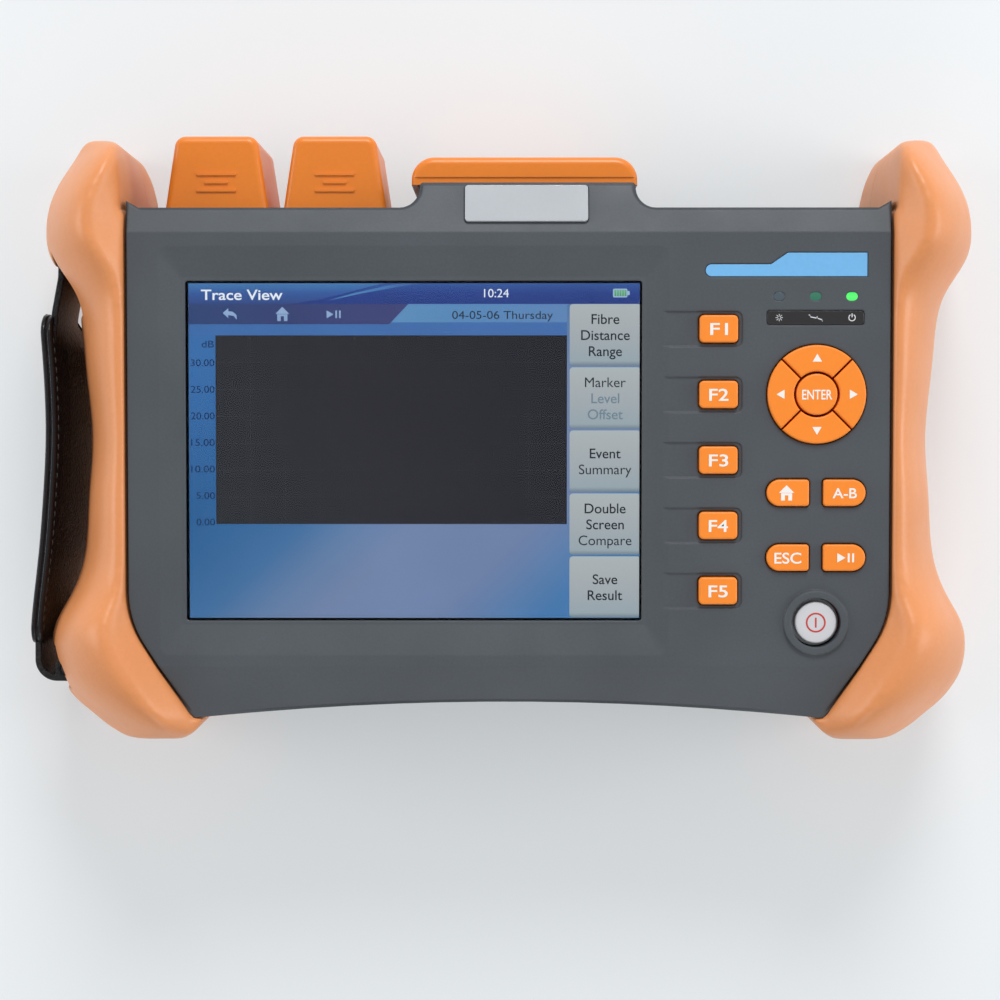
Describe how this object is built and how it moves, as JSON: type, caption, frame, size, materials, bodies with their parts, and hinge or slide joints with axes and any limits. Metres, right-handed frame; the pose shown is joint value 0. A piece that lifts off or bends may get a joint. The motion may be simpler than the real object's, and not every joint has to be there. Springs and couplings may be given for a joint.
{
  "type": "optical time domain reflectometer",
  "caption": "Handheld fibre tester: dark moulded housing with colour screen, sprung keys, rubber corner bumpers, hinged port covers, back stand and a side hand strap.",
  "frame": {"origin": "centre of the instrument's footprint on the plane that the bumpers' backs rest on", "axes": "+X across the front to the keypad side, +Y towards the port end, +Z out of the front face"},
  "size_m": [0.2556, 0.1631, 0.0736],
  "materials": {
    "housing": "fine matte texture",
    "bumper_rubber": "satin soft-touch",
    "seal_rubber": "matte",
    "window": "clear gloss",
    "lcd": "lit display",
    "key_rubber": "satin",
    "power_cap": "satin",
    "mat": "matte",
    "board": "satin",
    "lamp_off": "gloss",
    "lamp_dim": "gloss",
    "lamp_on": "gloss",
    "badge": "domed gloss",
    "model_label": "satin",
    "legend_label": "gloss",
    "adapter_metal": "nickel plated",
    "socket_metal": "tinned",
    "black_plastic": "matte",
    "module_case": "satin",
    "battery_case": "satin",
    "cover_plastic": "satin",
    "steel": "satin",
    "strap_leather": "embossed grain"
  },
  "bodies": {
    "case": {"front_housing": "housing", "rear_housing": "housing", "battery_door": "housing", "left_front_bumper": "bumper_rubber", "left_rear_bumper": "bumper_rubber", "right_front_bumper": "bumper_rubber", "right_rear_bumper": "bumper_rubber", "housing_gasket": "seal_rubber", "screen_seal": "seal_rubber", "screen_window": "window", "lcd_module": "lcd", "keypad_mat": "mat", "key_board": "board", "main_board": "board", "fault_lamp": "lamp_off", "test_lamp": "lamp_dim", "power_lamp": "lamp_on", "badge_plate": "badge", "model_plate": "model_label", "legend_plate": "legend_label", "otdr_port": "adapter_metal", "vfl_port": "adapter_metal", "ethernet_socket": "socket_metal", "usb_socket": "socket_metal", "jack_socket": "black_plastic", "optical_module": "module_case", "battery_pack": "battery_case", "housing_screws": "steel", "battery_door_screws": "steel", "port_cover_pins": "steel", "flap_pin": "steel", "kickstand_pins": "steel", "strap_bars": "steel", "hand_strap": "strap_leather", "strap_sleeve": "strap_leather"},
    "f1_key": {"f1_key": "key_rubber"},
    "f2_key": {"f2_key": "key_rubber"},
    "f3_key": {"f3_key": "key_rubber"},
    "f4_key": {"f4_key": "key_rubber"},
    "f5_key": {"f5_key": "key_rubber"},
    "up_key": {"up_key": "key_rubber"},
    "down_key": {"down_key": "key_rubber"},
    "left_key": {"left_key": "key_rubber"},
    "right_key": {"right_key": "key_rubber"},
    "enter_key": {"enter_key": "key_rubber"},
    "home_key": {"home_key": "key_rubber"},
    "ab_key": {"ab_key": "key_rubber"},
    "esc_key": {"esc_key": "key_rubber"},
    "run_key": {"run_key": "key_rubber"},
    "power_button": {"power_button": "power_cap"},
    "left_port_cover": {"left_port_cover": "cover_plastic"},
    "right_port_cover": {"right_port_cover": "cover_plastic"},
    "interface_flap": {"interface_flap": "cover_plastic"},
    "kickstand": {"kickstand": "housing"}
  },
  "joints": [
    {"name": "f1_press", "type": "slide", "parent": "case", "child": "f1_key", "axis": [0, 0, -1], "range_m": [0, 0.0008], "stiffness_N_per_m": 400, "springref_m": -0.0005},
    {"name": "f2_press", "type": "slide", "parent": "case", "child": "f2_key", "axis": [0, 0, -1], "range_m": [0, 0.0008], "stiffness_N_per_m": 400, "springref_m": -0.0005},
    {"name": "f3_press", "type": "slide", "parent": "case", "child": "f3_key", "axis": [0, 0, -1], "range_m": [0, 0.0008], "stiffness_N_per_m": 400, "springref_m": -0.0005},
    {"name": "f4_press", "type": "slide", "parent": "case", "child": "f4_key", "axis": [0, 0, -1], "range_m": [0, 0.0008], "stiffness_N_per_m": 400, "springref_m": -0.0005},
    {"name": "f5_press", "type": "slide", "parent": "case", "child": "f5_key", "axis": [0, 0, -1], "range_m": [0, 0.0008], "stiffness_N_per_m": 400, "springref_m": -0.0005},
    {"name": "up_press", "type": "slide", "parent": "case", "child": "up_key", "axis": [0, 0, -1], "range_m": [0, 0.0008], "stiffness_N_per_m": 400, "springref_m": -0.0005},
    {"name": "down_press", "type": "slide", "parent": "case", "child": "down_key", "axis": [0, 0, -1], "range_m": [0, 0.0008], "stiffness_N_per_m": 400, "springref_m": -0.0005},
    {"name": "left_press", "type": "slide", "parent": "case", "child": "left_key", "axis": [0, 0, -1], "range_m": [0, 0.0008], "stiffness_N_per_m": 400, "springref_m": -0.0005},
    {"name": "right_press", "type": "slide", "parent": "case", "child": "right_key", "axis": [0, 0, -1], "range_m": [0, 0.0008], "stiffness_N_per_m": 400, "springref_m": -0.0005},
    {"name": "enter_press", "type": "slide", "parent": "case", "child": "enter_key", "axis": [0, 0, -1], "range_m": [0, 0.0008], "stiffness_N_per_m": 400, "springref_m": -0.0005},
    {"name": "home_press", "type": "slide", "parent": "case", "child": "home_key", "axis": [0, 0, -1], "range_m": [0, 0.0008], "stiffness_N_per_m": 400, "springref_m": -0.0005},
    {"name": "ab_press", "type": "slide", "parent": "case", "child": "ab_key", "axis": [0, 0, -1], "range_m": [0, 0.0008], "stiffness_N_per_m": 400, "springref_m": -0.0005},
    {"name": "esc_press", "type": "slide", "parent": "case", "child": "esc_key", "axis": [0, 0, -1], "range_m": [0, 0.0008], "stiffness_N_per_m": 400, "springref_m": -0.0005},
    {"name": "run_press", "type": "slide", "parent": "case", "child": "run_key", "axis": [0, 0, -1], "range_m": [0, 0.0008], "stiffness_N_per_m": 400, "springref_m": -0.0005},
    {"name": "power_press", "type": "slide", "parent": "case", "child": "power_button", "axis": [0, 0, -1], "range_m": [0, 0.0012], "stiffness_N_per_m": 400, "springref_m": -0.0005},
    {"name": "left_cover_hinge", "type": "hinge", "parent": "case", "child": "left_port_cover", "pos_m": [-0.0777, 0.0619, 0.013], "axis": [-1, 0, 0], "range_deg": [0, 100]},
    {"name": "right_cover_hinge", "type": "hinge", "parent": "case", "child": "right_port_cover", "pos_m": [-0.0462, 0.0619, 0.013], "axis": [-1, 0, 0], "range_deg": [0, 100]},
    {"name": "flap_hinge", "type": "hinge", "parent": "case", "child": "interface_flap", "pos_m": [0.00425, 0.0684, 0.0084], "axis": [-1, 0, 0], "range_deg": [0, 100]},
    {"name": "kickstand_hinge", "type": "hinge", "parent": "case", "child": "kickstand", "pos_m": [0, 0.042, 0.0064], "axis": [1, 0, 0], "range_deg": [0, 60]}
  ]
}
